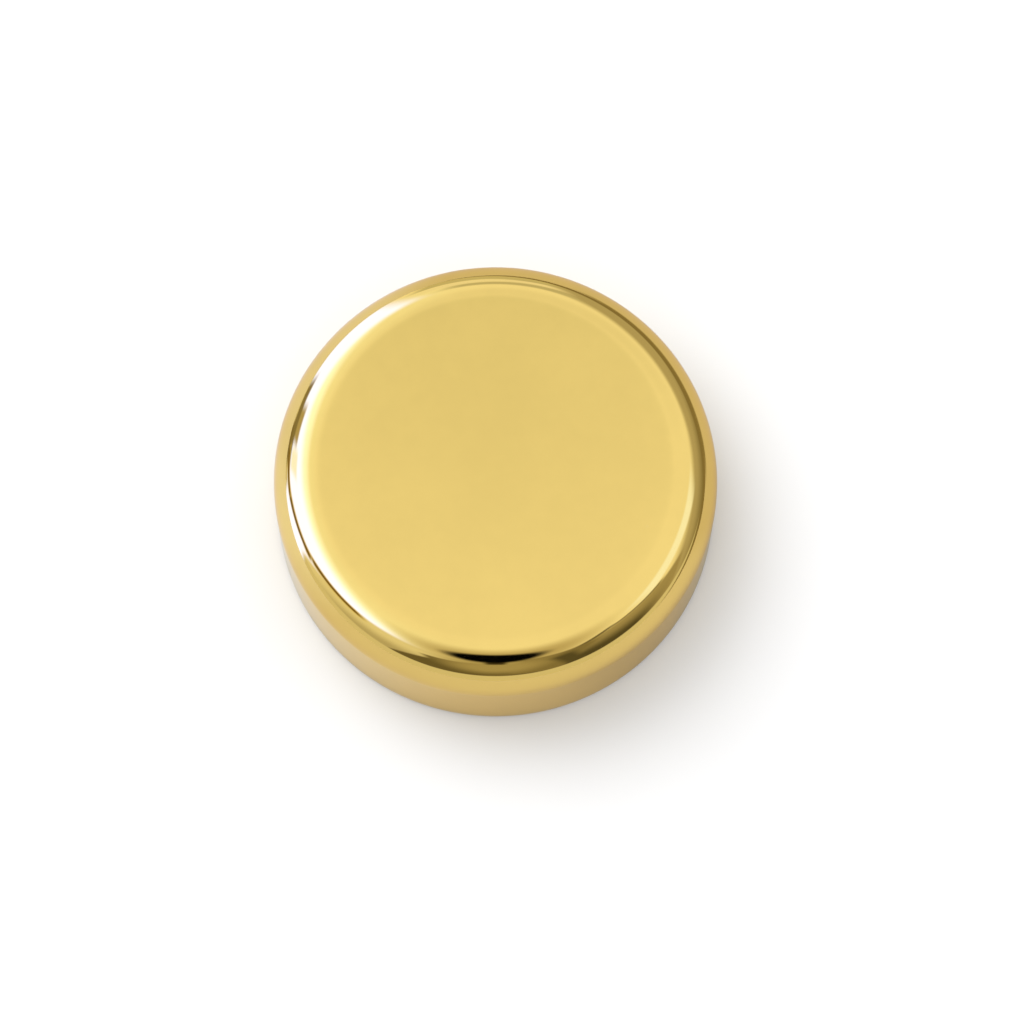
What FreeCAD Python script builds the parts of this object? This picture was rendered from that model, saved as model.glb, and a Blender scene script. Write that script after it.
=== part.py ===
"""Weighted dealer button: a drawn brass cap clamped over a steel core, closed by a plate with a felt foot.

The frame has +Z up and its origin at the centre of the felt's underside, where the button rests.
Every sub-part is turned about Z or padded along it, so a size is a radius or a height above the table.
"""

import FreeCAD, Part
import math
import os

import Sketcher

DOCUMENT_NAME = "DealerButton"
SHEET_NAME = "Sizes"
PARTS_FOLDER = "parts"
FULL_TURN = 360.0
OTHER_AXIS = {"X": -2, "Y": -1}  # the sketch axis that holds a point whose X or Y is nothing

DIMENSIONS = (
    ("button_radius", 25.4, "outside radius of the cap"),
    ("button_height", 15.9, "felt underside to the top face"),
    ("edge_radius", 5.0, "outside radius of the cap's rounded top edge"),
    ("shell_wall", 1.0, "thickness of the drawn cap"),
    ("rim_lift", 0.4, "height of the cap's rim above the table"),
    ("rim_break", 0.2, "edge break round the cap's rim"),
    ("felt_thick", 1.0, "thickness of the felt"),
    ("felt_gap", 0.2, "gap between the felt and the tray's lip"),
    ("film_thick", 0.15, "thickness of the felt's adhesive film"),
    ("film_inset", 0.4, "how far the film stops short of the felt's edge"),
    ("plate_thick", 1.0, "thickness of the base plate"),
    ("plate_gap", 0.15, "gap between the base plate and the cap's wall"),
    ("plate_bend", 0.5, "inside radius of the base plate's pressed bends"),
    ("well_radius", 5.6, "inside radius of the nut's well"),
    ("well_depth", 3.6, "depth of the nut's well"),
    ("core_gap", 0.2, "gap between the core and the cap's wall"),
    ("core_clearance", 0.3, "clearance round the well and the stud's foot in the core"),
    ("core_chamfer", 0.6, "chamfer round the core's lower edge"),
    ("core_bore", 2.25, "radius of the core's through hole"),
    ("liner_thick", 0.5, "thickness of the liner between the core and the cap"),
    ("liner_radius", 19.8, "outside radius of the liner"),
    ("liner_bore", 5.0, "inside radius of the liner"),
    ("stud_radius", 2.0, "radius of the M4 stud"),
    ("stud_foot", 4.0, "radius of the stud's soldered foot"),
    ("stud_foot_thick", 1.0, "thickness of the stud's foot"),
    ("stud_chamfer", 0.4, "chamfer on the stud's end"),
    ("stud_inset", 0.25, "how far the stud's end stays above the adhesive film"),
    ("stud_hole", 2.15, "radius of the base plate's hole for the stud"),
    ("washer_radius", 3.8, "outside radius of the spring washer"),
    ("washer_bore", 2.1, "inside radius of the spring washer"),
    ("washer_thick", 0.9, "thickness of the spring washer, clamped flat"),
    ("washer_split", 9.0, "angle of the spring washer's split, in degrees"),
    ("nut_flats", 7.0, "width of the thin M4 nut across its flats"),
    ("nut_thick", 2.2, "thickness of the nut"),
    ("nut_chamfer", 0.35, "height of the nut's corner chamfers"),
)


class Size:
    """A length that holds its value now and the sheet expression that keeps it up to date."""

    def __init__(self, value, text):
        self.value = value
        self.text = text

    def __add__(self, other):
        return Size(self.value + other.value, f"({self.text} + {other.text})")

    def __sub__(self, other):
        return Size(self.value - other.value, f"({self.text} - {other.text})")

    def scaled(self, factor):
        """This length times a plain number."""
        return Size(self.value * factor, f"({self.text} * {factor!r})")


ZERO = Size(0.0, "0 mm")


def make_sheet(doc):
    """The spreadsheet of driving dimensions, and a Size for each of them."""
    sheet = doc.addObject("Spreadsheet::Sheet", SHEET_NAME)
    sizes = {}
    for row, (alias, number, meaning) in enumerate(DIMENSIONS, start=1):
        sheet.set(f"A{row}", meaning)
        sheet.set(f"B{row}", str(number))
        sheet.setAlias(f"B{row}", alias)
        sizes[alias] = Size(number, f"{SHEET_NAME}.{alias}")
    doc.recompute()
    return sizes


def heights(size):
    """The heights above the table at which the stacked pieces meet, from the felt upwards."""
    tray = size["felt_thick"] + size["film_thick"]
    well = tray + size["well_depth"]
    well_top = well + size["plate_thick"]
    washer = well - size["washer_thick"]
    ceiling = size["button_height"] - size["shell_wall"]
    foot = ceiling - size["stud_foot_thick"]
    return {
        "rim": size["rim_lift"],
        "film": size["felt_thick"],
        "tray": tray,
        "plate_top": tray + size["plate_thick"],
        "well": well,
        "well_top": well_top,
        "washer": washer,
        "nut": washer - size["nut_thick"],
        "stud_end": tray + size["stud_inset"],
        "counterbore": well_top + size["core_clearance"],
        "foot_pocket": foot - size["core_clearance"],
        "foot": foot,
        "core_top": ceiling - size["liner_thick"],
        "ceiling": ceiling,
        "top": size["button_height"],
    }


def radii(size):
    """The radii that follow from the walls, bends and gaps between the pieces, from the outside inwards."""
    bore = size["button_radius"] - size["shell_wall"]
    plate = bore - size["plate_gap"]
    tray = plate - size["plate_thick"]
    felt = tray - size["felt_gap"]
    well = size["well_radius"] + size["plate_thick"]
    return {
        "shell_bore": bore,
        "core": bore - size["core_gap"],
        "plate": plate,
        "tray": tray,
        "felt": felt,
        "film": felt - size["film_inset"],
        "counterbore": well + size["plate_bend"] + size["core_clearance"],
        "well": well,
        "foot_pocket": size["stud_foot"] + size["core_clearance"],
        "outer_bend": size["plate_bend"] + size["plate_thick"],
        "inner_edge": size["edge_radius"] - size["shell_wall"],
        "core_shoulder": size["edge_radius"] - size["shell_wall"] + size["core_gap"],
    }


def origin_feature(body, role):
    """One of the body's own origin planes or axes, by its role."""
    return next(f for f in body.Origin.OriginFeatures if f.Role == role)


def new_body(doc, label):
    body = doc.addObject("PartDesign::Body", label)
    body.Label = label
    return body


def new_sketch(body, name, role):
    """A sketch on one of the body's own origin planes."""
    sketch = body.newObject("Sketcher::SketchObject", name)
    sketch.AttachmentSupport = [(origin_feature(body, role), "")]
    sketch.MapMode = "FlatFace"
    return sketch


def bind(sketch, constraint, name, text):
    """Adds a constraint whose value follows a sheet expression."""
    index = sketch.addConstraint(constraint)
    sketch.renameConstraint(index, name)
    sketch.setExpression(f"Constraints.{name}", text)


def place_start(sketch, line, axis, name, coordinate):
    """Holds a line's start at an X or Y of the sketch, on the other axis itself where that is ZERO."""
    if coordinate is ZERO:
        sketch.addConstraint(Sketcher.Constraint("PointOnObject", line, 1, OTHER_AXIS[axis]))
    else:
        constraint = Sketcher.Constraint("Distance" + axis, -1, 1, line, 1, coordinate.value)
        bind(sketch, constraint, name, coordinate.text)


def add_round(sketch, corner, arrive, leave, reach):
    """Adds a quarter arc inside a corner, and gives its index and its ends in the outline's order."""
    centre = corner - arrive * reach + leave * reach
    circle = Part.Circle(centre, FreeCAD.Vector(0, 0, 1), reach)
    anticlockwise = arrive.cross(leave).z > 0
    outward = leave * -1 if anticlockwise else arrive
    start = math.atan2(outward.y, outward.x)
    arc = sketch.addGeometry(Part.ArcOfCircle(circle, start, start + math.pi / 2), False)
    return (arc, 1, 2) if anticlockwise else (arc, 2, 1)


def draw_section(sketch, corners):
    """A closed outline through corners, each a radius, a height and, where it's rounded, an arc's radius.

    A line is level or upright wherever one of its ends is rounded.
    """
    count = len(corners)
    points = [FreeCAD.Vector(corner[0].value, corner[1].value, 0) for corner in corners]
    reaches = [corner[2].value if len(corner) > 2 else 0.0 for corner in corners]
    ways = [(points[(i + 1) % count] - points[i]).normalize() for i in range(count)]
    for i in range(count):
        end = (i + 1) % count
        line = Part.LineSegment(points[i] + ways[i] * reaches[i], points[end] - ways[i] * reaches[end])
        sketch.addGeometry(line, False)
    for i, (radius, height, *arc_radius) in enumerate(corners):
        previous, end = (i - 1) % count, (i + 1) % count
        if arc_radius:
            arc, first, last = add_round(sketch, points[i], ways[previous], ways[i], reaches[i])
            sketch.addConstraint(Sketcher.Constraint("Tangent", previous, 2, arc, first))
            sketch.addConstraint(Sketcher.Constraint("Tangent", arc, last, i, 1))
            bind(sketch, Sketcher.Constraint("Radius", arc, reaches[i]), f"round_{i}", arc_radius[0].text)
        else:
            sketch.addConstraint(Sketcher.Constraint("Coincident", previous, 2, i, 1))
            place_start(sketch, i, "X", f"radius_{i}", radius)
            place_start(sketch, i, "Y", f"height_{i}", height)
        if reaches[i] or reaches[end]:
            level = abs(ways[i].y) < abs(ways[i].x)
            sketch.addConstraint(Sketcher.Constraint("Horizontal" if level else "Vertical", i))
            if reaches[i] and reaches[end]:
                place_start(sketch, i, "Y" if level else "X", f"line_{i}", height if level else radius)


def turned(doc, label, corners):
    """A body turned about Z from a section in the XZ plane."""
    body = new_body(doc, label)
    section = new_sketch(body, label + "_section", "XZ_Plane")
    draw_section(section, corners)
    turn = body.newObject("PartDesign::Revolution", label + "_turn")
    turn.Profile = section
    turn.ReferenceAxis = (section, ["V_Axis"])
    turn.Angle = FULL_TURN
    doc.recompute()
    return body


def top_shell(doc, size, level, radius):
    """The drawn cap: a flat top, a rounded edge and a straight wall, all of one thickness."""
    outside, inside = size["button_radius"], radius["shell_bore"]
    corners = [
        (ZERO, level["ceiling"]),
        (ZERO, level["top"]),
        (outside, level["top"], size["edge_radius"]),
        (outside, level["rim"], size["rim_break"]),
        (inside, level["rim"], size["rim_break"]),
        (inside, level["ceiling"], radius["inner_edge"]),
    ]
    return turned(doc, "top_shell", corners)


def mounting_stud(doc, size, level, radius):
    """The stud that is soldered by its foot under the cap's top and carries the clamp."""
    chamfer = size["stud_chamfer"]
    corners = [
        (ZERO, level["ceiling"]),
        (size["stud_foot"], level["ceiling"]),
        (size["stud_foot"], level["foot"]),
        (size["stud_radius"], level["foot"]),
        (size["stud_radius"], level["stud_end"] + chamfer),
        (size["stud_radius"] - chamfer, level["stud_end"]),
        (ZERO, level["stud_end"]),
    ]
    return turned(doc, "mounting_stud", corners)


def shell_liner(doc, size, level, radius):
    """The thin ring that keeps the core from rattling on the cap's underside."""
    corners = [
        (size["liner_bore"], level["core_top"]),
        (size["liner_bore"], level["ceiling"]),
        (size["liner_radius"], level["ceiling"]),
        (size["liner_radius"], level["core_top"]),
    ]
    return turned(doc, "shell_liner", corners)


def core_weight(doc, size, level, radius):
    """The steel slug, bored for the stud, pocketed for its foot and counterbored for the well."""
    outside, chamfer = radius["core"], size["core_chamfer"]
    corners = [
        (size["core_bore"], level["counterbore"]),
        (radius["counterbore"], level["counterbore"]),
        (radius["counterbore"], level["plate_top"]),
        (outside - chamfer, level["plate_top"]),
        (outside, level["plate_top"] + chamfer),
        (outside, level["core_top"], radius["core_shoulder"]),
        (radius["foot_pocket"], level["core_top"]),
        (radius["foot_pocket"], level["foot_pocket"]),
        (size["core_bore"], level["foot_pocket"]),
    ]
    return turned(doc, "core_weight", corners)


def base_plate(doc, size, level, radius):
    """The pressed plate, of one thickness: a tray with a lip round the felt, and a well for the nut."""
    inner_bend, outer_bend = size["plate_bend"], radius["outer_bend"]
    corners = [
        (size["stud_hole"], level["well"]),
        (size["well_radius"], level["well"], inner_bend),
        (size["well_radius"], level["tray"], outer_bend),
        (radius["tray"], level["tray"], inner_bend),
        (radius["tray"], level["rim"], size["rim_break"]),
        (radius["plate"], level["rim"], size["rim_break"]),
        (radius["plate"], level["plate_top"], outer_bend),
        (radius["well"], level["plate_top"], inner_bend),
        (radius["well"], level["well_top"], outer_bend),
        (size["stud_hole"], level["well_top"]),
    ]
    return turned(doc, "base_plate", corners)


def spring_washer(doc, size, level, radius):
    """The split lock washer, clamped flat between the nut and the well's ceiling."""
    corners = [
        (size["washer_bore"], level["washer"]),
        (size["washer_bore"], level["well"]),
        (size["washer_radius"], level["well"]),
        (size["washer_radius"], level["washer"]),
    ]
    body = turned(doc, "spring_washer", corners)
    body.Tip.setExpression("Angle", f"{FULL_TURN:g} - {size['washer_split'].text}")
    doc.recompute()
    return body


def draw_hexagon(sketch, across_flats):
    """A regular hexagon about the origin with a corner on the sketch's horizontal axis."""
    reach = across_flats.value / math.sqrt(3)
    corners = [
        FreeCAD.Vector(reach * math.cos(math.radians(60 * i)), reach * math.sin(math.radians(60 * i)), 0)
        for i in range(6)
    ]
    for start, end in zip(corners, corners[1:] + corners[:1]):
        sketch.addGeometry(Part.LineSegment(start, end), False)
    circle = sketch.addGeometry(Part.Circle(FreeCAD.Vector(0, 0, 0), FreeCAD.Vector(0, 0, 1), reach), True)
    sketch.addConstraint(Sketcher.Constraint("Coincident", circle, 3, -1, 1))
    for i in range(6):
        sketch.addConstraint(Sketcher.Constraint("Coincident", (i - 1) % 6, 2, i, 1))
        sketch.addConstraint(Sketcher.Constraint("PointOnObject", i, 1, circle))
        if i:
            sketch.addConstraint(Sketcher.Constraint("Equal", 0, i))
    sketch.addConstraint(Sketcher.Constraint("PointOnObject", 0, 1, -1))
    bind(sketch, Sketcher.Constraint("Radius", circle, reach), "reach", f"{across_flats.text} / sqrt(3)")


def cut_round(body, name, corners):
    """Turns a section in the XZ plane about Z and takes it away from the body."""
    section = new_sketch(body, name + "_section", "XZ_Plane")
    draw_section(section, corners)
    before = body.Shape.Volume
    cut = body.newObject("PartDesign::Groove", name)
    cut.Profile = section
    cut.ReferenceAxis = (section, ["V_Axis"])
    cut.Angle = FULL_TURN
    body.Document.recompute()
    if body.Shape.Volume >= before:
        raise RuntimeError(f"{name} cuts nothing")


def clamp_nut(doc, size, level, radius):
    """The thin hexagon nut, with its corners chamfered on both faces and a bore on the stud."""
    body = new_body(doc, "clamp_nut")
    outline = new_sketch(body, "nut_outline", "XY_Plane")
    draw_hexagon(outline, size["nut_flats"])
    outline.AttachmentOffset = FreeCAD.Placement(FreeCAD.Vector(0, 0, level["nut"].value), FreeCAD.Rotation())
    outline.setExpression("AttachmentOffset.Base.z", level["nut"].text)
    blank = body.newObject("PartDesign::Pad", "nut_blank")
    blank.Profile = outline
    blank.Length = size["nut_thick"].value
    blank.setExpression("Length", size["nut_thick"].text)
    doc.recompute()
    reach = size["nut_flats"].scaled(1 / math.sqrt(3))
    flat = size["nut_flats"].scaled(0.5)
    beyond = reach + size["nut_chamfer"]
    lower, upper = level["nut"], level["washer"]
    for name, face, inner in (
        ("nut_lower_chamfer", lower, lower + size["nut_chamfer"]),
        ("nut_upper_chamfer", upper, upper - size["nut_chamfer"]),
    ):
        cut_round(body, name, [(flat, face), (beyond, face), (beyond, inner), (reach, inner)])
    bore = size["stud_radius"]
    cut_round(body, "nut_bore", [(ZERO, lower), (ZERO, upper), (bore, upper), (bore, lower)])
    return body


def disc(doc, label, outside, low, high):
    """A plain round sheet between two heights."""
    return turned(doc, label, [(ZERO, low), (ZERO, high), (outside, high), (outside, low)])


def felt_adhesive(doc, size, level, radius):
    """The double-sided film between the felt and the tray."""
    return disc(doc, "felt_adhesive", radius["film"], level["film"], level["tray"])


def felt_pad(doc, size, level, radius):
    """The felt foot that the button rests and slides on."""
    return disc(doc, "felt_pad", radius["felt"], ZERO, level["film"])


def check(doc, bodies):
    """Stops the script if any object failed or any sub-part's shape isn't one sound solid."""
    failed = [o.Name for o in doc.Objects if {"Invalid", "Error"} & set(o.State)]
    if failed:
        raise RuntimeError(f"objects that failed: {failed}")
    for body in bodies:
        shape = body.Shape
        if shape.isNull() or not shape.isValid() or len(shape.Solids) != 1 or shape.Volume <= 0:
            raise RuntimeError(f"{body.Label} isn't one valid solid")


def main():
    doc = FreeCAD.newDocument(DOCUMENT_NAME)
    size = make_sheet(doc)
    level = heights(size)
    radius = radii(size)
    makers = (
        top_shell,
        mounting_stud,
        shell_liner,
        core_weight,
        base_plate,
        spring_washer,
        clamp_nut,
        felt_adhesive,
        felt_pad,
    )
    bodies = [make(doc, size, level, radius) for make in makers]
    doc.recompute()
    check(doc, bodies)
    os.makedirs(PARTS_FOLDER, exist_ok=True)
    for body in bodies:
        body.Shape.exportStep(os.path.join(PARTS_FOLDER, body.Label + ".step"))
        print(f"{body.Label}: {body.Shape.Volume:.1f} mm3")


main()
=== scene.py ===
"""Looks of a weighted dealer button: a mirror-polished gold cap over a steel core, on a felt foot.

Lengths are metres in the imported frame: +Z up, and the origin under the middle of the felt.
"""

import logging
import math
from dataclasses import dataclass, field
from enum import Enum
from typing import Callable, Optional, Sequence, Union

import bpy
import numpy as np
from mathutils import Matrix, Vector


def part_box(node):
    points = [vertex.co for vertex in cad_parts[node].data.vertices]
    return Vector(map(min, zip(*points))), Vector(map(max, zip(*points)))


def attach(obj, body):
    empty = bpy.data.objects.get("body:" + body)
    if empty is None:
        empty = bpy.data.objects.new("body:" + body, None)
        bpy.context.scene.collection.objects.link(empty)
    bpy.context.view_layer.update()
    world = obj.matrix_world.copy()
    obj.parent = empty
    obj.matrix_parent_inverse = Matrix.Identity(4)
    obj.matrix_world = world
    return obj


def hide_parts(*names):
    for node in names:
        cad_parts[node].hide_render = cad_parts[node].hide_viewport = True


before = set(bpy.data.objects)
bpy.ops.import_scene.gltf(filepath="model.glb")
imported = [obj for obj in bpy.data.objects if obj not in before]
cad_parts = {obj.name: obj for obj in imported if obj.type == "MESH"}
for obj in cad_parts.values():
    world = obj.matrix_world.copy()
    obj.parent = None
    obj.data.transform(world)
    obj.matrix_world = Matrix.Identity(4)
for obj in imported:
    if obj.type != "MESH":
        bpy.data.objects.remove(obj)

log = logging.getLogger("dealer_button")

MM = 0.001
ROOT = "root"
FULL_TURN = 2 * math.pi
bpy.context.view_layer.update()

Colour = tuple[float, float, float]
Socket = bpy.types.NodeSocket
Piece = bpy.types.Object
Value = Union[float, Sequence[float], Socket]
Inputs = dict[Union[str, int], Value]


class Slot(Enum):
    """The record's material slots, by name. No piece here takes its finish from them."""

    GOLD = "gold_plate"
    BRASS_STUD = "stud_brass"
    FASTENER = "fastener_steel"
    FELT = "felt"


class ThreadSide(Enum):
    """Which side of the thread's surface is metal."""

    EXTERNAL = 1
    INTERNAL = -1


class CardShape(Enum):
    """The part of the plane of directions that a card of light covers."""

    PANEL = "panel"
    DISC = "disc"
    OUTSIDE = "outside"


# ---------------------------------------------------------------- surfaces


def add_mesh(name: str, points: np.ndarray, faces: Sequence[np.ndarray], sharp_from: float = 40.0) -> Piece:
    """Makes an object of points and faces, smooth except where two faces meet at a sharp angle.

    Args:
        name: the piece's name.
        points: an array of one row of X, Y and Z per point.
        faces: arrays of point numbers, each with one row per face and one column per corner.
        sharp_from: the angle in degrees from which an edge is drawn sharp.

    Returns:
        The new object, at the origin.
    """
    corners = np.concatenate([block.reshape(-1) for block in faces]).astype(np.int32)
    sides = np.concatenate([np.full(len(block), block.shape[1]) for block in faces]).astype(np.int32)
    mesh = bpy.data.meshes.new(name)
    mesh.vertices.add(len(points))
    mesh.vertices.foreach_set("co", points.astype(np.float32).reshape(-1))
    mesh.loops.add(len(corners))
    mesh.loops.foreach_set("vertex_index", corners)
    mesh.polygons.add(len(sides))
    mesh.polygons.foreach_set("loop_start", np.concatenate([[0], np.cumsum(sides)[:-1]]).astype(np.int32))
    mesh.update(calc_edges=True)
    mesh.validate()
    mesh.shade_smooth()
    mesh.set_sharp_from_angle(angle=math.radians(sharp_from))
    piece = bpy.data.objects.new(name, mesh)
    bpy.context.scene.collection.objects.link(piece)
    return piece


def quads(rows: int, columns: int, wrap_rows: bool = False, wrap_columns: bool = True) -> np.ndarray:
    """Four-cornered faces of a grid whose point number is row * columns + column.

    Args:
        rows: how many rows of points the grid has.
        columns: how many points each row has.
        wrap_rows: whether the last row joins the first.
        wrap_columns: whether the last column joins the first.

    Returns:
        One row of four point numbers per face.
    """
    row = np.arange(rows if wrap_rows else rows - 1)[:, None]
    column = np.arange(columns if wrap_columns else columns - 1)[None, :]
    next_row, next_column = (row + 1) % rows, (column + 1) % columns
    corners = (
        row * columns + column,
        row * columns + next_column,
        next_row * columns + next_column,
        next_row * columns + column,
    )
    return np.stack([np.broadcast_to(c, (row.size, column.size)) for c in corners], -1).reshape(-1, 4)


def fan(pole: int, ring: np.ndarray) -> np.ndarray:
    """Three-cornered faces from a pole to each neighbouring pair of points of a closed ring."""
    return np.stack([np.full(len(ring), pole), ring, np.roll(ring, -1)], -1)


def turned_surface(name: str, radius: np.ndarray, height: np.ndarray, closed: bool = False) -> Piece:
    """A surface about Z whose radius and height are given on a grid of profile steps by equal angles.

    The point in row i and column j is (radius * cos a, radius * sin a, height) with a = 2 pi j / columns.
    The profile runs anticlockwise in the half plane of radius and height, so that faces point outwards.

    Args:
        name: the piece's name.
        radius: the grid of radii.
        height: the grid of heights, of the same shape.
        closed: whether the profile's end joins its start; otherwise both ends stand on the axis, and each
            becomes one pole.

    Returns:
        The new object.
    """
    rows, columns = radius.shape
    angle = np.arange(columns) * FULL_TURN / columns
    points = np.stack([radius * np.cos(angle), radius * np.sin(angle), height], -1)
    if closed:
        return add_mesh(name, points.reshape(-1, 3), [quads(rows, columns, wrap_rows=True)])
    inner = points[1:-1]
    count = inner.shape[0] * columns
    poles = np.array([[0, 0, height[0].mean()], [0, 0, height[-1].mean()]])
    first = np.arange(columns)
    last = first + count - columns
    faces = [quads(inner.shape[0], columns), fan(count, first[::-1]), fan(count + 1, last)]
    return add_mesh(name, np.concatenate([inner.reshape(-1, 3), poles]), faces)


def arc(centre: tuple[float, float], radius: float, start: float, end: float, steps: int) -> np.ndarray:
    """Points of radius and height on an arc, centre + radius * (cos t, sin t), with t in degrees."""
    t = np.radians(np.linspace(start, end, steps + 1))
    return np.stack([centre[0] + radius * np.cos(t), centre[1] + radius * np.sin(t)], -1)


def line(start: tuple[float, float], end: tuple[float, float], steps: int = 1) -> np.ndarray:
    """Evenly spaced points of radius and height from start to end, both included."""
    t = np.linspace(0, 1, steps + 1)[:, None]
    return (1 - t) * np.array(start) + t * np.array(end)


def profile(*stretches: np.ndarray) -> np.ndarray:
    """Joins stretches of a profile end to end and drops each point that repeats the one before.

    Args:
        *stretches: rows of radius and height.

    Returns:
        The joined rows.
    """
    points = np.concatenate(stretches)
    gaps = np.linalg.norm(np.diff(points, axis=0), axis=1)
    return points[np.concatenate([[True], gaps > 1e-9])]


def around(points: np.ndarray, columns: int) -> tuple[np.ndarray, np.ndarray]:
    """The radius and height grids of a profile that is the same at every angle."""
    return tuple(np.repeat(points[:, i : i + 1], columns, axis=1) for i in range(2))


# ---------------------------------------------------------------- node trees


class Graph:
    """A shader node tree with short ways to add, feed and join its nodes."""

    def __init__(self, tree: bpy.types.NodeTree) -> None:
        """Keeps the tree and empties it."""
        self.tree = tree
        tree.nodes.clear()

    def add(self, kind: str, inputs: Optional[Inputs] = None, **settings: object) -> bpy.types.Node:
        """Adds a node.

        Args:
            kind: the node's type, without its ShaderNode prefix.
            inputs: a value or a socket for each named or numbered input.
            **settings: the node's own properties.

        Returns:
            The new node.
        """
        node = self.tree.nodes.new("ShaderNode" + kind)
        for name, value in settings.items():
            setattr(node, name, value)
        for key, value in (inputs or {}).items():
            self.feed(node.inputs[key], value)
        return node

    def feed(self, socket: Socket, value: Value) -> None:
        """Links a socket to another, or sets its plain value.

        Args:
            socket: the input.
            value: a socket to link it to, or its plain value.
        """
        if isinstance(value, Socket):
            self.tree.links.new(value, socket)
        else:
            socket.default_value = value

    def math(self, operation: str, *values: Value) -> Socket:
        """The result of a Math node on one to three values."""
        return self.add("Math", dict(enumerate(values)), operation=operation).outputs[0]

    def vector(self, operation: str, *values: Value) -> bpy.types.Node:
        """A Vector Math node on one or two vectors."""
        return self.add("VectorMath", dict(enumerate(values)), operation=operation)

    def noise(self, place: Value, scale: Value, detail: float = 2.0, roughness: float = 0.5) -> Socket:
        """The value of a Noise Texture at a place, where scale is in waves per metre."""
        inputs = {"Vector": place, "Scale": scale, "Detail": detail, "Roughness": roughness}
        return self.add("TexNoise", inputs).outputs["Fac"]

    def remap(self, value: Value, low: Value, high: Value, to_low: float = 0, to_high: float = 1) -> Socket:
        """A smooth step of value from low to high, put out as to_low to to_high."""
        inputs = {"Value": value, "From Min": low, "From Max": high, "To Min": to_low, "To Max": to_high}
        return self.add("MapRange", inputs, interpolation_type="SMOOTHSTEP").outputs["Result"]

    def mix(self, amount: Value, first: Value, second: Value) -> Socket:
        """A colour between first and second.

        Args:
            amount: the share of the second colour.
            first: a colour or a socket.
            second: a colour or a socket.

        Returns:
            The mixed colour.
        """
        node = self.add("Mix", {"Factor": amount}, data_type="RGBA")
        sockets = [s for s in node.inputs if s.type == "RGBA"]
        for socket, colour in zip(sockets, (first, second)):
            self.feed(socket, colour if isinstance(colour, Socket) else (*colour, 1.0))
        return next(s for s in node.outputs if s.type == "RGBA")

    def effect(self, tree: bpy.types.NodeTree, place: Value, **values: Value) -> Socket:
        """The output of a shared effect at a place, with its own values."""
        inputs = {"Position": place, **{key.title(): value for key, value in values.items()}}
        return self.add("Group", inputs, node_tree=tree).outputs[0]

    def from_axis(self, place: Value) -> Socket:
        """How far a place is from the Z axis.

        Args:
            place: the place.

        Returns:
            The distance.
        """
        parts = self.add("SeparateXYZ", {0: place}).outputs
        flat = self.add("CombineXYZ", {0: parts[0], 1: parts[1]}).outputs[0]
        return self.vector("LENGTH", flat).outputs["Value"]

    def place(self) -> Socket:
        """The surface's own Object coordinates, in metres."""
        return self.add("TexCoord").outputs["Object"]


def new_surface(name: str, inputs: Inputs) -> tuple[bpy.types.Material, Graph, bpy.types.Node]:
    """Makes a material of one Principled shader.

    Args:
        name: the material's name.
        inputs: a value for each named input of the shader.

    Returns:
        The material, its graph and its shader.
    """
    made = bpy.data.materials.new(name)
    made.use_nodes = True
    graph = Graph(made.node_tree)
    shader = graph.add("BsdfPrincipled", inputs)
    graph.add("OutputMaterial", {"Surface": shader.outputs[0]})
    return made, graph, shader


def build_group(
    name: str,
    values: Sequence[str],
    outputs: Sequence[str],
    build: Callable[[Graph, dict[str, Socket]], dict[str, Socket]],
    vectors: Sequence[str] = ("Position",),
) -> bpy.types.NodeTree:
    """Makes a shader node group with named sockets.

    Args:
        name: the group's name.
        values: the names of its value inputs.
        outputs: the names of its value outputs.
        build: takes the group's graph and its input sockets by name, and gives its output sockets by name.
        vectors: the names of its vector inputs.

    Returns:
        The group's node tree.
    """
    tree = bpy.data.node_groups.new(name, "ShaderNodeTree")
    graph = Graph(tree)
    for key in (*vectors, *values):
        kind = "NodeSocketVector" if key in vectors else "NodeSocketFloat"
        tree.interface.new_socket(key, in_out="INPUT", socket_type=kind)
    for key in outputs:
        tree.interface.new_socket(key, in_out="OUTPUT", socket_type="NodeSocketFloat")
    entry = tree.nodes.new("NodeGroupInput")
    leave = tree.nodes.new("NodeGroupOutput")
    results = build(graph, {key: entry.outputs[key] for key in (*vectors, *values)})
    for key, socket in results.items():
        tree.links.new(socket, leave.inputs[key])
    return tree


def build_mottle(graph: Graph, given: dict[str, Socket]) -> dict[str, Socket]:
    """Two sizes of noise laid over each other, from 0 to 1.

    Args:
        graph: the group's graph.
        given: its inputs by name.

    Returns:
        Its outputs by name.
    """
    broad = graph.noise(given["Position"], given["Scale"])
    fine = graph.noise(given["Position"], graph.math("MULTIPLY", given["Scale"], 5.3), 3.0)
    total = graph.math("MULTIPLY_ADD", fine, 0.35, graph.math("MULTIPLY", broad, 0.65))
    return {"Value": graph.remap(total, 0.3, 0.7)}


def build_hairlines(graph: Graph, given: dict[str, Socket]) -> dict[str, Socket]:
    """Faint scratches: noise stretched along three directions, kept only along its thin zero lines.

    Args:
        graph: the group's graph.
        given: its inputs by name.

    Returns:
        Its outputs by name.
    """
    found: Optional[Socket] = None
    for turn in (0.35, 1.4, 2.55):
        inputs = {"Vector": given["Position"], "Rotation": (0.0, 0.0, turn), "Scale": (1.0, 28.0, 5.0)}
        stretched = graph.add("Mapping", inputs, vector_type="TEXTURE").outputs[0]
        wave = graph.noise(stretched, given["Scale"], 1.0)
        away = graph.math("ABSOLUTE", graph.math("SUBTRACT", wave, 0.5))
        hair = graph.remap(away, 0.0, 0.006, 1.0, 0.0)
        found = hair if found is None else graph.math("MAXIMUM", found, hair)
    kept = graph.remap(graph.noise(given["Position"], 160.0, 1.0), 0.5, 0.68)
    return {"Mask": graph.math("MULTIPLY", found, kept)}


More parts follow.
